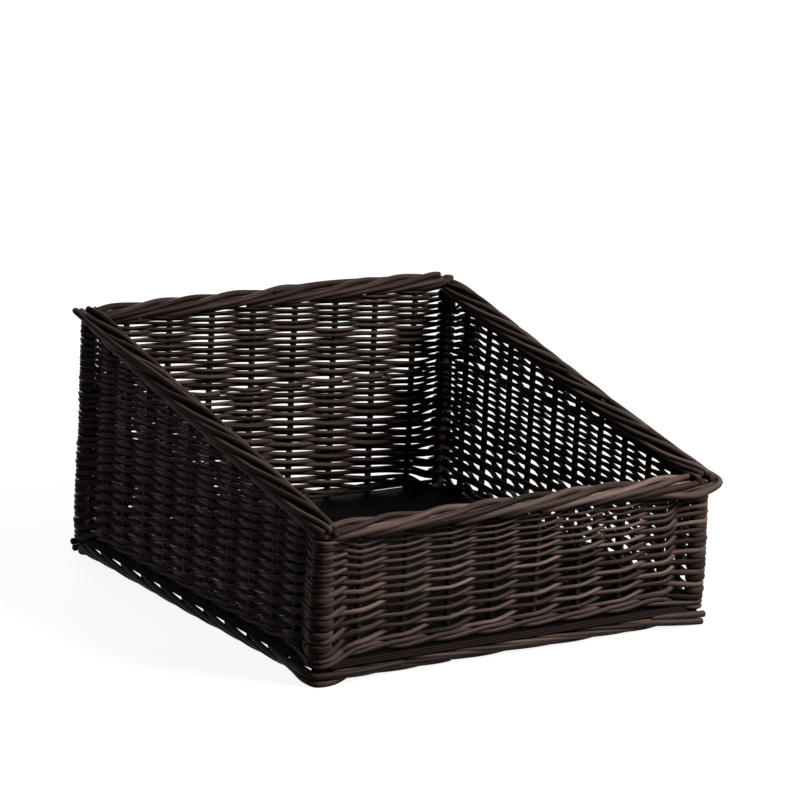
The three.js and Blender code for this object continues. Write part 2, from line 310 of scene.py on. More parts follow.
def make_supports():
    """The 4 corner posts and 36 stakes in their order round the basket, from the front left post."""
    order = ["corner_post_front_left"]
    order += [f"front_stake_{i}" for i in range(1, FRONT_STAKES + 1)]
    order += ["corner_post_front_right"]
    order += [f"right_stake_{i}" for i in range(1, SIDE_STAKES + 1)]
    order += ["corner_post_back_right"]
    order += [f"back_stake_{i}" for i in range(FRONT_STAKES, 0, -1)]
    order += ["corner_post_back_left"]
    order += [f"left_stake_{i}" for i in range(SIDE_STAKES, 0, -1)]
    return order, [Support(*centre_and_radius(node), "post" in node) for node in order]


SUPPORT_NODES, SUPPORTS = make_supports()
RING = len(SUPPORTS)
POSTS = [k for k, support in enumerate(SUPPORTS) if support.post]
FRONT_LEFT, BACK_LEFT = POSTS[0], POSTS[-1]
POST_Y = abs(SUPPORTS[FRONT_LEFT].place[1])


def make_walls():
    walls = {}
    for name, first, last in zip(("front", "right", "back", "left"), POSTS, POSTS[1:] + [RING]):
        start = SUPPORTS[first].place
        end = SUPPORTS[last % RING].place
        length = float(np.linalg.norm(end - start))
        direction = (end - start) / length
        outward = np.array([direction[1], -direction[0]])
        walls[name] = Wall(name, first, last, direction, outward, length)
    return walls


WALLS = make_walls()

BOARD_LOW, BOARD_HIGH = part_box("base_board")
FRONT_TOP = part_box("front_rim_outer")[1].z
BACK_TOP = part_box("back_rim_outer")[1].z
HALF_DEPTH = POST_Y + SUPPORTS[FRONT_LEFT].radius + POST_COVER
RIM_SLOPE = (BACK_TOP - FRONT_TOP) / (2 * HALF_DEPTH)


def wall_of(k):
    """The wall that a support stands in; a post belongs to the wall that starts at it."""
    k = k % RING
    return next(wall for wall in WALLS.values() if wall.first <= k < wall.last)


def wall_before(k):
    return wall_of(k - 1)


def support(k):
    return SUPPORTS[k % RING]


def rim_top(place):
    """Height of the top border above a place on a wall's middle line."""
    y = place[1]
    if abs(y) > POST_Y - MM:
        return FRONT_TOP if y < 0 else BACK_TOP
    return FRONT_TOP + RIM_SLOPE * (y + HALF_DEPTH)


# Heights of the rows at each support

WALE_BOTTOM = BOARD_HIGH.z + WALE_ABOVE_BOARD


def row_pitches(k):
    """The height that each row takes up at support k, from the lowest row to the highest."""
    listed = POST_HEIGHTS if support(k).post else ROW_HEIGHTS[wall_of(k).name]
    rows, heights = zip(*listed)
    return MM * np.interp(np.arange(ROWS), rows, heights)


def row_levels(k):
    bottom = WALE_BOTTOM + WALE_HEIGHT - (POST_DROP if support(k).post else 0)
    pitches = row_pitches(k)
    return bottom + np.cumsum(pitches) - pitches / 2


PITCHES = [row_pitches(k) for k in range(RING)]
LEVELS = [row_levels(k) for k in range(RING)]


def row_fits(k, row):
    """Whether there is room for a row at support k under the top border."""
    if not 0 <= row < ROWS:
        return False
    return LEVELS[k % RING][row] + PITCHES[k % RING][row] / 2 < rim_top(support(k).place) - RIM_DEPTH


def row_side(row):
    """1 where a row passes outside its support, and -1 inside."""
    return 1 if row % 2 == 0 else -1


# Rods as tubes

class Rods:
    """Collects rods as closed tubes with a grain direction and a tone each; the tone is scaled by the shade,
    which paints light or shade into it.
    """

    def __init__(self, shade=1.0):
        self.shade = shade
        self.points = []
        self.faces = []
        self.tones = []
        self.grains = []
        self.count = 0
        self.tone = rng.random()

    def add(self, points, radii, tall=None, roundness=None, sides=ROD_SIDES, tone=None):
        points = np.asarray(points, float)
        radii = np.asarray(radii, float)
        tall = np.ones(len(radii)) if tall is None else np.asarray(tall, float)
        roundness = np.ones(len(radii)) if roundness is None else np.asarray(roundness, float)
        self.tone = (self.tone + GOLDEN) % 1
        # The shade paints light or shade into the tone: rods where less light falls are made darker
        tone = min(1.0, self.shade * (self.tone if tone is None else tone))
        points, radii = with_cut_ends(points, radii)
        tall = np.concatenate([tall[:1], tall, tall[-1:]])
        roundness = np.concatenate([roundness[:1], roundness, roundness[-1:]])
        sideways, upward, distance = rod_frames(points)
        angles = 2 * np.pi * np.arange(sides) / sides
        wave = np.stack([np.cos(angles), np.sin(angles)], axis=1)
        section = np.sign(wave) * np.abs(wave) ** roundness[:, None, None]
        upward = upward * tall[:, None]
        spokes = section[:, :, :1] * sideways[:, None, :] + section[:, :, 1:] * upward[:, None, :]
        rings = points[:, None, :] + radii[:, None, None] * spokes
        self.points.append(rings.reshape(-1, 3))
        grain = np.empty(rings.shape)
        grain[:, :, 0] = distance[:, None] + GRAIN_SHIFT * tone
        grain[:, :, 1:] = radii[:, None, None] * wave[None, :, :]
        self.grains.append(grain.reshape(-1, 3))
        self.tones.append(np.full(rings.shape[0] * sides, tone))
        self.join_rings(len(points), sides)

    def join_rings(self, ring_count, sides):
        first = self.count
        step = np.arange(sides)
        after = (step + 1) % sides
        for ring in range(ring_count - 1):
            a = first + ring * sides
            b = a + sides
            self.faces += np.stack([a + step, a + after, b + after, b + step], axis=1).tolist()
        self.faces.append((first + step[::-1]).tolist())
        self.faces.append((first + (ring_count - 1) * sides + step).tolist())
        self.count += ring_count * sides

    def piece(self, name, material):
        mesh = bpy.data.meshes.new(name)
        mesh.from_pydata(np.concatenate(self.points), [], self.faces)
        tone = mesh.attributes.new("rod_tone", "FLOAT", "POINT")
        tone.data.foreach_set("value", np.concatenate(self.tones))
        grain = mesh.attributes.new("rod_grain", "FLOAT_VECTOR", "POINT")
        grain.data.foreach_set("vector", np.concatenate(self.grains).ravel())
        mesh.shade_smooth()
        mesh.set_sharp_from_angle(angle=SHARP_ANGLE)
        mesh.materials.append(material)
        made = bpy.data.objects.new(name, mesh)
        bpy.context.scene.collection.objects.link(made)
        return made


def with_cut_ends(points, radii):
    """Adds a small bevel ring at both ends of a rod."""
    head = points[0] - points[1]
    tail = points[-1] - points[-2]
    first = points[0] + head / np.linalg.norm(head) * radii[0] * BEVEL
    last = points[-1] + tail / np.linalg.norm(tail) * radii[-1] * BEVEL
    shrunk = 1 - BEVEL
    points = np.concatenate([[first], points, [last]])
    return points, np.concatenate([[radii[0] * shrunk], radii, [radii[-1] * shrunk]])


def rod_frames(points):
    """Two cross directions at each point, turned along the rod without twist, and the distance run."""
    steps = np.diff(points, axis=0)
    distance = np.concatenate([[0], np.cumsum(np.linalg.norm(steps, axis=1))])
    tangents = np.gradient(points, axis=0)
    tangents /= np.linalg.norm(tangents, axis=1)[:, None]
    if np.max(np.abs(tangents[:, 2])) < STEEP:
        sideways = np.cross(tangents, (0, 0, 1))
        sideways /= np.linalg.norm(sideways, axis=1)[:, None]
        return sideways, np.cross(sideways, tangents), distance
    sideways = np.empty_like(tangents)
    sideways[0] = np.cross(tangents[0], ACROSS)
    for i in range(1, len(points)):
        sideways[i] = sideways[i - 1] - tangents[i] * np.dot(sideways[i - 1], tangents[i])
    sideways /= np.linalg.norm(sideways, axis=1)[:, None]
    return sideways, np.cross(sideways, tangents), distance


Knot = namedtuple("Knot", "place heading height radius tall roundness slopes", defaults=(1.0, 1.0, None))


def knots_at(k, side, height, radius):
    """Where a rod passes support k: one knot at a stake, three round a post."""
    here = support(k)
    wall = wall_of(k)
    reach = (POST_HUG if here.post else HUG[wall.name]) * (here.radius + radius)
    if not here.post:
        return [Knot(here.place + side * reach * wall.outward, wall.direction, height, radius)]
    before = wall_before(k)
    diagonal = (before.outward + wall.outward) / math.sqrt(2)
    turning = (before.direction + wall.direction) / math.sqrt(2)
    middle = Knot(here.place + side * reach * diagonal, turning, height, radius)
    if side > 0:
        arrive = here.place + reach * before.outward
        leave = here.place + reach * wall.outward
    else:
        inset = (reach - (math.sqrt(2) - 1) * INSIDE_BEND) / math.sqrt(2)
        arrive = here.place - before.direction * (inset + INSIDE_BEND) - inset * before.outward
        leave = here.place + wall.direction * (inset + INSIDE_BEND) - inset * wall.outward
    return [
        Knot(arrive, before.direction, height, radius),
        middle,
        Knot(leave, wall.direction, height, radius),
    ]


def beyond(knot, distance):
    """A knot further along a rod's heading."""
    return knot._replace(place=knot.place + knot.heading * distance)


def blend(t):
    """Weights of a smooth way between two knots: of the first place, and of the slopes at both."""
    return 2 * t**3 - 3 * t**2 + 1, t**3 - 2 * t**2 + t, t**3 - t**2


def shares_between(length, step, last):
    """Even shares of the way between two knots, with its very end only on the last stretch."""
    count = max(FEWEST_STEPS, math.ceil(length / step))
    return np.linspace(0, 1, count + 1)[: None if last else -1]


def curve_through(knots):
    """Points of a smooth rod through its knots, and its radius, tallness and roundness at each point."""
    places = np.array([knot.place for knot in knots])
    headings = np.array([knot.heading for knot in knots])
    heights = np.array([knot.height for knot in knots])
    shapes = np.array([(knot.radius, knot.tall, knot.roundness) for knot in knots])
    lengths = np.linalg.norm(np.diff(places, axis=0), axis=1)
    run = np.concatenate([[0], np.cumsum(lengths)])
    slopes = [(slope, slope) if knot.slopes is None else knot.slopes
              for slope, knot in zip(np.gradient(heights, run), knots)]
    points = []
    sections = []
    for i, length in enumerate(lengths):
        t = shares_between(length, ROD_STEP, i == len(lengths) - 1)
        start, leave, arrive = blend(t)
        flat = (
            np.outer(start, places[i])
            + np.outer(1 - start, places[i + 1])
            + length * np.outer(leave, headings[i])
            + length * np.outer(arrive, headings[i + 1])
        )
        height = start * heights[i] + (1 - start) * heights[i + 1]
        height += length * (leave * slopes[i][1] + arrive * slopes[i + 1][0])
        points.append(np.column_stack([flat, height]))
        sections.append(shapes[i] + np.outer(t, shapes[i + 1] - shapes[i]))
    return np.concatenate(points), *np.concatenate(sections).T


# Woven walls

def rod_runs():
    """For each weaving rod the supports and rows that it passes, one row higher at each support."""
    runs = []
    for k in range(RING):
        for row in range(ROWS):
            carried_on = row not in COURSE_STARTS and row_fits(k - 1, row - 1)
            if carried_on or not row_fits(k, row):
                continue
            run = [(k, row)]
            while row_fits(k + len(run), row + len(run)) and row + len(run) not in COURSE_STARTS:
                run.append((k + len(run), row + len(run)))
            runs.append(run)
    return runs


def owners_at(k, count):
    """The walls of a rod's knots at support k; at a post the first of them belong to the wall before."""
    half = count // 2
    return [wall_before(k).name] * half + [wall_of(k).name] * (count - half)


def weave_rods(walls):
    for number, run in enumerate(rod_runs()):
        thick = rng.uniform(*ROD_THICKNESS)
        shift = scatter(ROD_SHIFT)
        knots = []
        owners = []
        if run[0][1] in COURSE_STARTS:
            knots.append(butt_knot(*run[0], thick))
            owners.append(wall_before(run[0][0]).name)
        for k, row in run:
            radius = rod_radius(k, row, thick)
            height = LEVELS[k % RING][row] + shift + scatter(KNOT_SHIFT)
            outside = row_side(row) > 0
            if not outside:
                height += INSIDE_RAISE[wall_of(k).name] * PITCHES[k % RING][row]
            new = knots_at(k, row_side(row), height, radius)
            if support(k).post and outside:
                tall = band_height(k, row) / (2 * radius)
                new = [knot._replace(tall=tall, roundness=BAND_ROUND) for knot in new]
            elif outside:
                new = [knot._replace(slopes=STAKE_SLOPES[wall_of(k).name]) for knot in new]
            if beside_post(k) and not (support(k).post and outside):
                new = [knot._replace(tall=CROWDED[wall_of(k).name]) for knot in new]
            knots += new
            owners += owners_at(k, len(new))
        knots = [beyond(knots[0], -BUTT_TAIL)] + knots + [beyond(knots[-1], TIP_TAIL)]
        owners = [owners[0]] + owners + [owners[-1]]
        share_between_walls(walls, knots, owners, (number * GOLDEN + rng.uniform(0, TONE_SCATTER)) % 1)


def beside_post(k):
    return any(support(k + step).post for step in (-1, 0, 1))


def rod_radius(k, row, thick):
    wall = wall_of(k).name
    return thick * min(STOUTEST[wall], TIGHTNESS[wall] * PITCHES[k % RING][row]) / 2


def butt_knot(k, row, thick):
    """The thick end of a rod, resting inside the support before its first one."""
    before = k - 1
    height = LEVELS[before % RING][row] - PITCHES[before % RING][row]
    return knots_at(before, -1, height, rod_radius(before, row, thick))[-1]


def band_height(k, row):
    """Height of the band that a rod makes where it bends round the outside of a post."""
    return BAND_FILL * PITCHES[k % RING][row]


def share_between_walls(walls, knots, owners, tone):
    """Gives each wall its stretch of a rod, cut at the middle of the corner posts."""
    start = 0
    for i in range(1, len(knots) + 1):
        if i == len(knots) or owners[i] != owners[start]:
            stretch = knots[start:i + 1]
            walls[owners[start]].add(*curve_through(stretch), tone=tone)
            start = i


def corner_turns(walls):
    """Extra turns of rod round the outside of each post, between the rods that pass it outside."""
    for k in POSTS:
        here = support(k)
        before, wall = wall_before(k), wall_of(k)
        toward = math.atan2(*(before.outward + wall.outward)[::-1])
        turns = [(LEVELS[k][row], PITCHES[k][row]) for row in range(1, ROWS, 2) if row_fits(k, row)]
        for height, pitch in turns:
            radius = min(pitch / 2, TURN_STOUTEST) * rng.uniform(*TURN_THICKNESS)
            angles = toward + np.linspace(-TURN_SWEEP, TURN_SWEEP, TURN_POINTS)
            reach = here.radius + radius - TURN_PRESS
            tilt = scatter(TURN_TILT)
            points = np.column_stack([
                here.place[0] + reach * np.cos(angles),
                here.place[1] + reach * np.sin(angles),
                height + tilt * np.linspace(-1, 1, len(angles)),
            ])
            radii, tall, roundness = (np.full(len(angles), value) for value in (
                radius, BAND_FILL * pitch / (2 * radius), BAND_ROUND))
            # Low tones here are painted shade on the bands round the posts
            walls[wall.name].add(points, radii, tall, roundness, tone=rng.uniform(*TURN_SHADED_TONES))


def wale(walls):
    """Three rods round the foot of the walls: outside two stakes, rising, and inside the third."""
    for strand in range(len(WALE_SHARES)):
        knots = []
        owners = []
        for k in range(BACK_LEFT, BACK_LEFT + RING + 1):
            place = (k + strand) % len(WALE_SHARES)
            height = WALE_BOTTOM + WALE_HEIGHT * WALE_SHARES[place] + scatter(WALE_SHIFT)
            if support(k).post:
                height -= POST_DROP
            new = knots_at(k, -1 if place == 0 else 1, height, WALE_RADIUS)
            knots += new
            owners += owners_at(k, len(new))
        share_between_walls(walls, knots, owners, rng.uniform(*WALE_TONES))


def slope_rows(walls):
    """A rod along the slope, close under each side border."""
    for name in SLOPED_WALLS:
        wall = WALLS[name]
        knots = []
        for k in range(wall.first + 1, wall.last):
            height = rim_top(support(k).place) - RIM_DEPTH + SLOPE_ROD_RAISE
            knots += knots_at(k, 1 if k % 2 else -1, height, SLOPE_ROD)
        slope = (knots[-1].height - knots[0].height) / np.linalg.norm(knots[-1].place - knots[0].place)
        first = beyond(knots[0], -SLOPE_ROD_TAIL)
        last = beyond(knots[-1], SLOPE_ROD_TAIL)
        first = first._replace(height=first.height - slope * SLOPE_ROD_TAIL)
        last = last._replace(height=last.height + slope * SLOPE_ROD_TAIL)
        walls[name].add(*curve_through([first] + knots + [last]))


# Borders

def wall_point(wall, run, offset, height):
    flat = SUPPORTS[wall.first].place + run * wall.direction + offset * wall.outward
    return np.array([flat[0], flat[1], height])


def stake_runs(wall):
    return [float(np.dot(support(k).place - SUPPORTS[wall.first].place, wall.direction))
            for k in range(wall.first + 1, wall.last)]


Rope = namedtuple("Rope", "spans angles half_width half_height radii middle start end")


def lay_rope(wall, rods, rope):
    """Stake ends laid along a wall: each turns about the rope's middle line while it passes a few stakes."""
    runs = stake_runs(wall)
    spacing = runs[1] - runs[0]
    starts = [runs[0] - spacing * i for i in range(1, math.ceil(rope.spans) + 2)][::-1] + runs
    for start in starts:
        turn = math.radians(scatter(ROPE_TURN))
        loose = rng.uniform(*ROPE_LOOSENESS)
        length = (rope.spans + scatter(ROPE_SPAN_SHIFT)) * spacing
        shares = np.linspace(0, 1, math.ceil(length / ROPE_STEP))
        places = start + shares * length
        first_cut = rope.start + scatter(ROPE_CUT_SHIFT)
        last_cut = rope.end + scatter(ROPE_CUT_SHIFT)
        keep = (places >= first_cut) & (places <= last_cut)
        if np.count_nonzero(keep) < FEWEST_POINTS:
            continue
        shares = shares[keep]
        thick = rng.uniform(*ROPE_THICKNESS)
        points = []
        drawn_in = [1 - ROPE_DRAW * (eased(run - rope.start, ROPE_DRAW_REACH)
                                     + eased(rope.end - run, ROPE_DRAW_REACH))
                    for run in places[keep]]
        for share, run, size in zip(shares, places[keep], drawn_in):
            angle = math.radians(rope.angles[0] + share * (rope.angles[1] - rope.angles[0])) + turn
            angle -= ROPE_PINCH * math.sin(2 * angle)
            offset = size * rope.half_width * loose * math.cos(angle)
            height = rope.middle(run) + size * rope.half_height * loose * math.sin(angle)
            points.append(wall_point(wall, run, offset, height))
        radii = thick * (rope.radii[0] + shares * (rope.radii[1] - rope.radii[0]))
        rods.add(points, radii, sides=STOUT_SIDES)


def eased(distance, reach):
    return math.exp(-max(distance, 0.0) / reach)


def rim_middle(wall):
    """Height of the middle of a wall's top border along its run."""
    past_start, past_end, lift_start, lift_end = RIM_ENDS[wall.name]

    def middle(run):
        y = (SUPPORTS[wall.first].place + run * wall.direction)[1]
        if wall.name in SLOPED_WALLS:
            top = FRONT_TOP + RIM_SLOPE * (y + HALF_DEPTH)
        else:
            top = FRONT_TOP if y < 0 else BACK_TOP
        lift = lift_start * eased(run + past_start, LIFT_REACH)
        lift += lift_end * eased(wall.length + past_end - run, LIFT_REACH)
        sag = RIM_SAG[wall.name] * max(0.0, math.sin(math.pi * run / wall.length))
        return top + RIM_RAISE + lift - sag - RIM_HALF_HEIGHT - RIM_ROD[0]

    return middle


def top_border(wall):
    rods = Rods(RIM_PAINTED_LIGHT[wall.name])
    past_start, past_end = RIM_ENDS[wall.name][:2]
    middle = rim_middle(wall)
    lay_rope(wall, rods, Rope(
        RIM_SPANS[wall.name], RIM_ANGLES, RIM_HALF_WIDTH, RIM_HALF_HEIGHT, RIM_ROD, middle,
        -past_start, wall.length + past_end,
    ))
    add_rim_core(wall, rods, middle)
    if wall.name != "front":
        for reach in CORNER_REACH[wall.name]:
            add_corner_rod(wall, rods, middle, reach)
    return rods


def wave_at(run, wave):
    size, turns = wave
    return size * math.sin(run * turns)


def add_rim_core(wall, rods, middle):
    """Two rods inside the rope, end to end with the wall."""
    for offset in (-RIM_CORE_OFFSET, RIM_CORE_OFFSET):
        runs = np.linspace(RIM_CORE_INSET, wall.length - RIM_CORE_INSET, RIM_CORE_POINTS)
        points = [wall_point(wall, run, offset + wave_at(run, RIM_CORE_WAVE), middle(run)) for run in runs]
        rods.add(points, np.full(len(points), RIM_CORE))


def add_corner_rod(wall, rods, middle, reach):
    """A rod that comes round the outside of the wall's first post and lies along the border's outer edge."""
    before = wall_before(wall.first)
    before_middle = rim_middle(before)
    post = SUPPORTS[wall.first].place
    diagonal = (before.outward + wall.outward) / math.sqrt(2)
    knots = []
    last_run, nearer, last_rise = CORNER_LAST
    for run, offset, rise in (*CORNER_COMING, (last_run, reach / MM + nearer, last_rise)):
        run = before.length - run * MM
        knots.append(wall_point(before, run, offset * MM, before_middle(run) + rise * MM))
    level = (knots[-1][2] + middle(0) + CORNER_ABOVE) / 2 + CORNER_RISE[wall.name]
    knots.append(np.array([*(post + reach * diagonal), level]))
    for run, offset, rise in CORNER_GOING:
        knots.append(wall_point(wall, run * MM, offset * MM, middle(run * MM) + rise * MM))
    points = smooth_path(knots)
    rods.add(points, np.linspace(*CORNER_ROD, len(points)), sides=STOUT_SIDES)


def smooth_path(knots):
    """Points of a smooth curve through knots in space."""
    knots = np.array(knots)
    lengths = np.linalg.norm(np.diff(knots, axis=0), axis=1)
    run = np.concatenate([[0], np.cumsum(lengths)])
    slopes = np.gradient(knots, run, axis=0)
    points = []
    for i, length in enumerate(lengths):
        t = shares_between(length, PATH_STEP, i == len(lengths) - 1)[:, None]
        start, leave, arrive = blend(t)
        way = start * knots[i] + (1 - start) * knots[i + 1]
        points.append(way + length * (leave * slopes[i] + arrive * slopes[i + 1]))
    return np.concatenate(points)


def foot_border(wall):
    rods = Rods(FOOT_PAINTED_SHADE)
    top = BOARD_LOW.z + FOOT_RAISE
    level = (top + FOOT_CLEARANCE[wall.name]) / 2
    past_start, past_end = FOOT_ENDS[wall.name]
    lay_rope(wall, rods, Rope(
        FOOT_SPANS[wall.name], FOOT_ANGLES, FOOT_HALF_WIDTH, top - level - FOOT_ROD[0], FOOT_ROD,
        lambda run: level, -past_start, wall.length + past_end,
    ))
    if wall.name not in SLOPED_WALLS:
        add_foot_core(wall, rods)
        add_foot_turns(wall, rods)
        add_foot_tails(wall, rods)
    return rods


def add_foot_core(wall, rods):
    """A rod close under the board's edge, from post to post."""
    runs = np.linspace(0, wall.length, FOOT_CORE_POINTS)
    points = [wall_point(wall, run, wave_at(run, FOOT_CORE_WAVE), BOARD_LOW.z - FOOT_CORE) for run in runs]
    rods.add(points, np.full(len(points), FOOT_CORE), sides=STOUT_SIDES)


def add_foot_turns(wall, rods):
    """Foot rods of the wall before that droop to the ground and come round the wall's first post."""
    before = wall_before(wall.first)
    post = SUPPORTS[wall.first]
    diagonal = (before.outward + wall.outward) / math.sqrt(2)
    for low, radius, tail, inset, rise in FOOT_TURNS:
        reach = post.radius / MM + radius
        # Distance from the post, outward and up, in millimetres
        coming = ((62, 4, 11), (26, 7, (low + 9.5) / 2), (5, reach, low + 0.6))
        going = ((5, reach, low + 0.2), (tail, inset, low + rise))
        knots = [wall_point(before, before.length - run * MM, offset * MM, height * MM)
                 for run, offset, height in coming]
        knots += [np.array([*(post.place + reach * MM * diagonal), low * MM])]
        knots += [wall_point(wall, run * MM, offset * MM, height * MM) for run, offset, height in going]
        points = smooth_path(knots)
        radii = np.linspace(radius, radius * FOOT_TURN_TAPER, len(points)) * MM
        rods.add(points, radii, sides=STOUT_SIDES)


def add_foot_tails(wall, rods):
    """The last two foot rods, cut off in front of the wall's last post."""
    for radius, knots in FOOT_TAILS:
        points = smooth_path([wall_point(wall, wall.length + run * MM, offset * MM, height * MM)
                              for run, offset, height in knots])
        rods.add(points, np.full(len(points), radius * MM), sides=STOUT_SIDES, tone=FOOT_TAIL_TONE)


# Uprights and board

def upright(place, radius, bottom, top, sides):
    rods = Rods()
    heights = np.linspace(bottom, top, max(FEWEST_RINGS, math.ceil((top - bottom) / UPRIGHT_STEP)))
    phase = rng.uniform(0, UPRIGHT_PHASE)
    sway = UPRIGHT_SWAY[0] * np.sin(heights * UPRIGHT_SWAY[1] + phase)
    points = np.column_stack([place[0] + sway, place[1] + sway[::-1], heights])
    ripple = UPRIGHT_RIPPLE[0] * np.sin(heights * UPRIGHT_RIPPLE[1] + phase)
    taper = np.linspace(1.0, UPRIGHT_TAPER, len(heights)) + ripple
    rods.add(points, radius * taper, sides=sides)
    return rods


def dress_uprights(material):
    for k, node in enumerate(SUPPORT_NODES):
        here = support(k)
        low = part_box(node)[0]
        sides = STOUT_SIDES if here.post else ROD_SIDES
        top = rim_top(here.place) - RIM_DEPTH / 2
        rods = upright(here.place, here.radius, low.z + BEVEL * here.radius, top, sides)
        add_piece(rods.piece(f"{node}_rod", material), "willow_rod", node)


def dress_board(material):
    """The floor board with fine grooves between its veneers."""
    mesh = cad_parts["base_board"].data.copy()
    mesh.name = "floor_board"
    work = bmesh.new()
    work.from_mesh(mesh)
    bmesh.ops.remove_doubles(work, verts=work.verts, dist=SAME_POINT)
    bmesh.ops.dissolve_limit(work, angle_limit=FLAT_ANGLE, verts=work.verts, edges=work.edges)
    veneer = (BOARD_HIGH.z - BOARD_LOW.z) / VENEERS
    levels = {}
    for i in range(1, VENEERS):
        for shift in (-GROOVE_HALF_HEIGHT, 0.0, GROOVE_HALF_HEIGHT):
            levels[BOARD_LOW.z + i * veneer + shift] = GROOVE_DEPTH if shift == 0.0 else 0.0
    for level in levels:
        parts = work.verts[:] + work.edges[:] + work.faces[:]
        bmesh.ops.bisect_plane(work, geom=parts, plane_co=(0, 0, level), plane_no=(0, 0, 1), dist=ON_CUT)
    edge_x, edge_y = BOARD_HIGH.x, BOARD_HIGH.y
    for vert in work.verts:
        depth = next((d for level, d in levels.items() if abs(vert.co.z - level) < SAME_POINT), 0.0)
        if abs(abs(vert.co.x) - edge_x) < ON_EDGE:
            vert.co.x -= math.copysign(depth, vert.co.x)
        if abs(abs(vert.co.y) - edge_y) < ON_EDGE:
            vert.co.y -= math.copysign(depth, vert.co.y)
    work.to_mesh(mesh)
    work.free()
    mesh.materials.clear()
    mesh.materials.append(material)
    made = bpy.data.objects.new("floor_board", mesh)
    bpy.context.scene.collection.objects.link(made)
    add_piece(made, "plywood", "base_board")


def add_piece(piece, slot, *nodes):
    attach(piece, "root")
    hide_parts(*nodes)


# Materials

def new_material(name):
    material = bpy.data.materials.new(name)
    material.use_nodes = True
    nodes = material.node_tree.nodes
    return material, nodes, material.node_tree.links, nodes["Principled BSDF"]


def ramp(nodes, links, value, stops):
    """The colour for a value, by stops of (value, colour)."""
    node = nodes.new("ShaderNodeValToRGB")
    elements = node.color_ramp.elements
    for element, (position, colour) in zip(elements, (stops[0], stops[-1])):
        element.position = position
        element.color = (*colour, 1)
    for position, colour in stops[1:-1]:
        elements.new(position).color = (*colour, 1)
    links.new(value, node.inputs["Fac"])
    return node.outputs["Color"]


def mixed(nodes, links, mode, factor, a, b):
    node = nodes.new("ShaderNodeMix")
    node.data_type = "RGBA"
    node.blend_type = mode
    if isinstance(factor, float):
        node.inputs["Factor"].default_value = factor
    else:
        links.new(factor, node.inputs["Factor"])
    links.new(a, node.inputs["A"])
    links.new(b, node.inputs["B"])
    return node.outputs["Result"]


def mapped(nodes, links, value, source=(0, 1), target=(0, 1), clamp=True):
    """A value taken from one range to another."""
    node = nodes.new("ShaderNodeMapRange")
    node.clamp = clamp
    for socket, number in zip(("From Min", "From Max", "To Min", "To Max"), (*source, *target)):
        node.inputs[socket].default_value = number
    links.new(value, node.inputs["Value"])
    return node.outputs["Result"]


def worked_out(nodes, links, operation, *values):
    """The result of an operation on sockets and plain numbers."""
    node = nodes.new("ShaderNodeMath")
    node.operation = operation
    for socket, value in zip(node.inputs, values):
        if isinstance(value, float):
            socket.default_value = value
        else:
            links.new(value, socket)
    return node.outputs[0]


def upward_part(nodes, links, vector):
    node = nodes.new("ShaderNodeSeparateXYZ")
    links.new(vector, node.inputs["Vector"])
    return node.outputs["Z"]


def grain_noise(nodes, links, vector, scale, detail):
    """Noise drawn out along one direction, as the grain of wood is."""
    stretch = nodes.new("ShaderNodeMapping")
    stretch.inputs["Scale"].default_value = scale
    links.new(vector, stretch.inputs["Vector"])
    noise = nodes.new("ShaderNodeTexNoise")
    noise.inputs["Scale"].default_value = 1.0
    noise.inputs["Detail"].default_value = detail
    links.new(stretch.outputs["Vector"], noise.inputs["Vector"])
    return noise.outputs["Fac"]


def add_grain_relief(nodes, links, shader, grain, roughness, strength):
    """Roughness between two values and a fine bump, both by the grain."""
    links.new(mapped(nodes, links, grain, target=roughness), shader.inputs["Roughness"])
    bump = nodes.new("ShaderNodeBump")
    bump.inputs["Strength"].default_value = strength
    bump.inputs["Distance"].default_value = GRAIN_DEPTH
    links.new(grain, bump.inputs["Height"])
    links.new(bump.outputs["Normal"], shader.inputs["Normal"])


def willow(name, dark, light):
    """Stained willow: a tone for each rod, streaks along it, painted shade on undersides and a painted
    highlight on upper sides, satin varnish.
    """
    material, nodes, links, shader = new_material(name)
    tone = nodes.new("ShaderNodeAttribute")
    tone.attribute_name = "rod_tone"
    grain = nodes.new("ShaderNodeAttribute")
    grain.attribute_name = "rod_grain"
    streaks = grain_noise(nodes, links, grain.outputs["Vector"], WILLOW_GRAIN, detail=4)
    lightest = tuple(value * LIGHTEST for value in light)
    body = ramp(nodes, links, tone.outputs["Fac"], [(0.0, dark), (LIGHT_TONE, light), (1.0, lightest)])
    shade = ramp(nodes, links, streaks, STREAK_TINTS)
    colour = mixed(nodes, links, "MULTIPLY", 1.0, body, shade)
    # Painted light: undersides darker and redder, upper sides lighter and greyer, by the upward part of the
    # normal
    place = nodes.new("ShaderNodeTexCoord")
    upward = upward_part(nodes, links, place.outputs["Normal"])
    painted_light = ramp(nodes, links, mapped(nodes, links, upward, source=PAINTED_LIGHT_SPAN), PAINTED_LIGHT_TINTS)
    colour = mixed(nodes, links, "MULTIPLY", 1.0, colour, painted_light)
    links.new(colour, shader.inputs["Base Color"])
    shader.inputs["Specular IOR Level"].default_value = 0.02
    add_grain_relief(nodes, links, shader, streaks, roughness=(0.3, 0.42), strength=0.25)
    return material


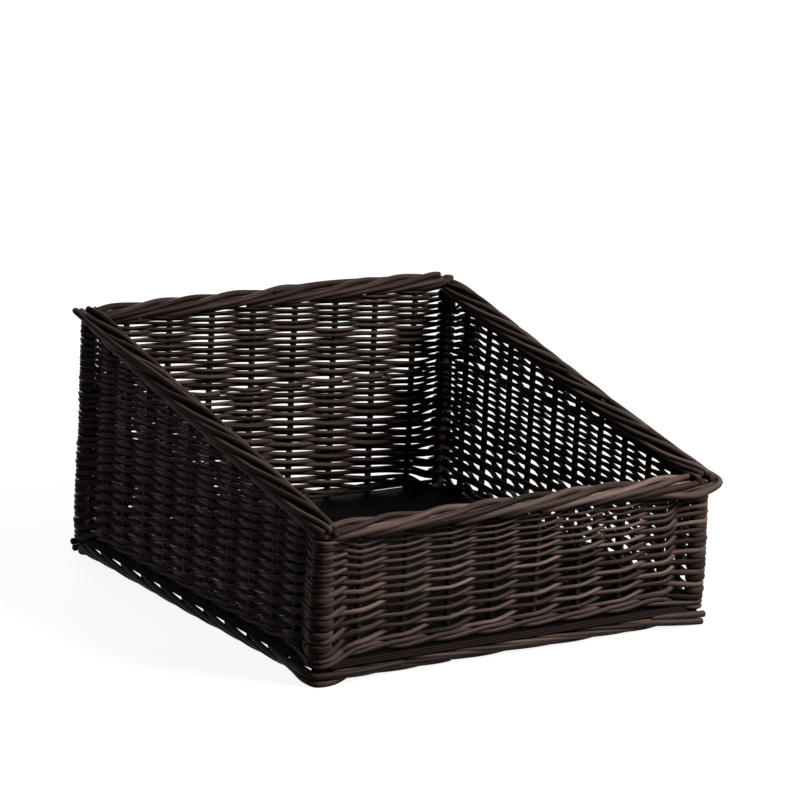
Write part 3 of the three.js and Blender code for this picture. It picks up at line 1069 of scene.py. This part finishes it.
def plywood():
    """Dark stained plywood: matt faces with a fine figure, and lighter edges lined by the veneers."""
    material, nodes, links, shader = new_material("stained_plywood")
    place = nodes.new("ShaderNodeTexCoord")
    figure = grain_noise(nodes, links, place.outputs["Object"], BOARD_GRAIN, detail=6)
    face = ramp(nodes, links, figure, FACE_COLOURS)
    height = upward_part(nodes, links, place.outputs["Object"])
    veneer = mapped(nodes, links, height, (BOARD_LOW.z, BOARD_HIGH.z), (0, VENEERS), clamp=False)
    edge = ramp(nodes, links, worked_out(nodes, links, "PINGPONG", veneer, 0.5), EDGE_COLOURS)
    upward = upward_part(nodes, links, place.outputs["Normal"])
    facing = worked_out(nodes, links, "ABSOLUTE", upward)
    colour = mixed(nodes, links, "MIX", facing, edge, face)
    links.new(colour, shader.inputs["Base Color"])
    shader.inputs["Specular IOR Level"].default_value = 0.01
    add_grain_relief(nodes, links, shader, figure, roughness=(0.6, 0.85), strength=0.06)
    return material


# Camera, light and floor

def add_camera():
    a, e = VIEW_AZIMUTH, VIEW_ELEVATION
    back = Vector((math.sin(a) * math.cos(e), -math.cos(a) * math.cos(e), math.sin(e)))
    right = Vector((0, 0, 1)).cross(back).normalized()
    up = back.cross(right)
    turned_right = math.cos(VIEW_ROLL) * right + math.sin(VIEW_ROLL) * up
    turned_up = math.cos(VIEW_ROLL) * up - math.sin(VIEW_ROLL) * right
    place = back * VIEW_DISTANCE + turned_right * VIEW_SIDE + turned_up * VIEW_RISE
    data = bpy.data.cameras.new("camera")
    data.sensor_width = SENSOR
    data.lens = LENS
    camera = bpy.data.objects.new("camera", data)
    turn = Matrix((turned_right, turned_up, back)).transposed().to_4x4()
    camera.matrix_world = Matrix.Translation(place) @ turn
    bpy.context.scene.collection.objects.link(camera)
    bpy.context.scene.camera = camera


def add_lamp(name, place, size, watts):
    data = bpy.data.lights.new(name, "AREA")
    data.shape = "RECTANGLE"
    data.size, data.size_y = size
    data.energy = watts
    lamp = bpy.data.objects.new(name, data)
    lamp.location = place
    aim = LAMP_AIM - Vector(place)
    lamp.rotation_euler = aim.to_track_quat("-Z", "Y").to_euler()
    bpy.context.scene.collection.objects.link(lamp)


def seen_directly(nodes, links):
    """1 for rays from the camera, mirror-like reflections and glass, 0 for light that falls on surfaces."""
    path = nodes.new("ShaderNodeLightPath")
    total = path.outputs["Is Camera Ray"]
    for ray in ("Is Glossy Ray", "Is Transmission Ray"):
        total = worked_out(nodes, links, "MAXIMUM", total, path.outputs[ray])
    return total


def add_floor():
    material, nodes, links, shader = new_material("pale_floor")
    shader.inputs["Base Color"].default_value = FLOOR_COLOUR
    shader.inputs["Roughness"].default_value = 0.9
    shader.inputs["Specular IOR Level"].default_value = 0.1
    shader.inputs["Emission Color"].default_value = WHITE
    place = nodes.new("ShaderNodeTexCoord")
    away = nodes.new("ShaderNodeVectorMath")
    away.operation = "LENGTH"
    links.new(place.outputs["Object"], away.inputs[0])
    level = mapped(nodes, links, away.outputs["Value"], FLOOR_NEAR_FAR, FLOOR_BRIGHTNESS)
    glow = worked_out(nodes, links, "MULTIPLY", seen_directly(nodes, links), level)
    links.new(glow, shader.inputs["Emission Strength"])
    mesh = bpy.data.meshes.new("floor")
    corners = [(x * FLOOR_HALF, y * FLOOR_HALF, 0) for x, y in ((-1, -1), (1, -1), (1, 1), (-1, 1))]
    mesh.from_pydata(corners, [], [(0, 1, 2, 3)])
    mesh.materials.append(material)
    floor = bpy.data.objects.new("floor", mesh)
    bpy.context.scene.collection.objects.link(floor)


def add_world():
    world = bpy.data.worlds.new("studio")
    world.use_nodes = True
    nodes, links = world.node_tree.nodes, world.node_tree.links
    strength = mapped(nodes, links, seen_directly(nodes, links), target=(WORLD_LIGHT, 1.0))
    links.new(strength, nodes["Background"].inputs["Strength"])
    nodes["Background"].inputs["Color"].default_value = WHITE
    bpy.context.scene.world = world


def add_stage():
    add_floor()
    add_world()
    bpy.context.scene.view_settings.view_transform = "Standard"
    for lamp in LAMPS:
        add_lamp(*lamp)


def main():
    add_camera()
    rod_finish = willow("willow_rod", *BORDER_STAIN)
    weave_finish = willow("willow_weave", *WEAVE_STAIN)
    # The stakes' material paints shade into their stain
    stake_shaded_finish = willow("willow_stake_shaded", *STAKE_STAIN_AND_SHADE)
    weaves = {name: Rods(WALL_PAINTED_LIGHT[name]) for name in WALLS}
    weave_rods(weaves)
    corner_turns(weaves)
    wale(weaves)
    slope_rows(weaves)
    for name, rods in weaves.items():
        add_piece(rods.piece(f"{name}_woven_wall", weave_finish), "willow_weave", f"{name}_weave")
    for name, wall in WALLS.items():
        rim = top_border(wall).piece(f"{name}_top_border", rod_finish)
        add_piece(rim, "willow_rod", f"{name}_rim_outer", f"{name}_rim_inner")
        foot = foot_border(wall).piece(f"{name}_foot_border", rod_finish)
        add_piece(foot, "willow_rod", f"{name}_foot_rod")
    dress_uprights(stake_shaded_finish)
    dress_board(plywood())
    add_stage()


main()
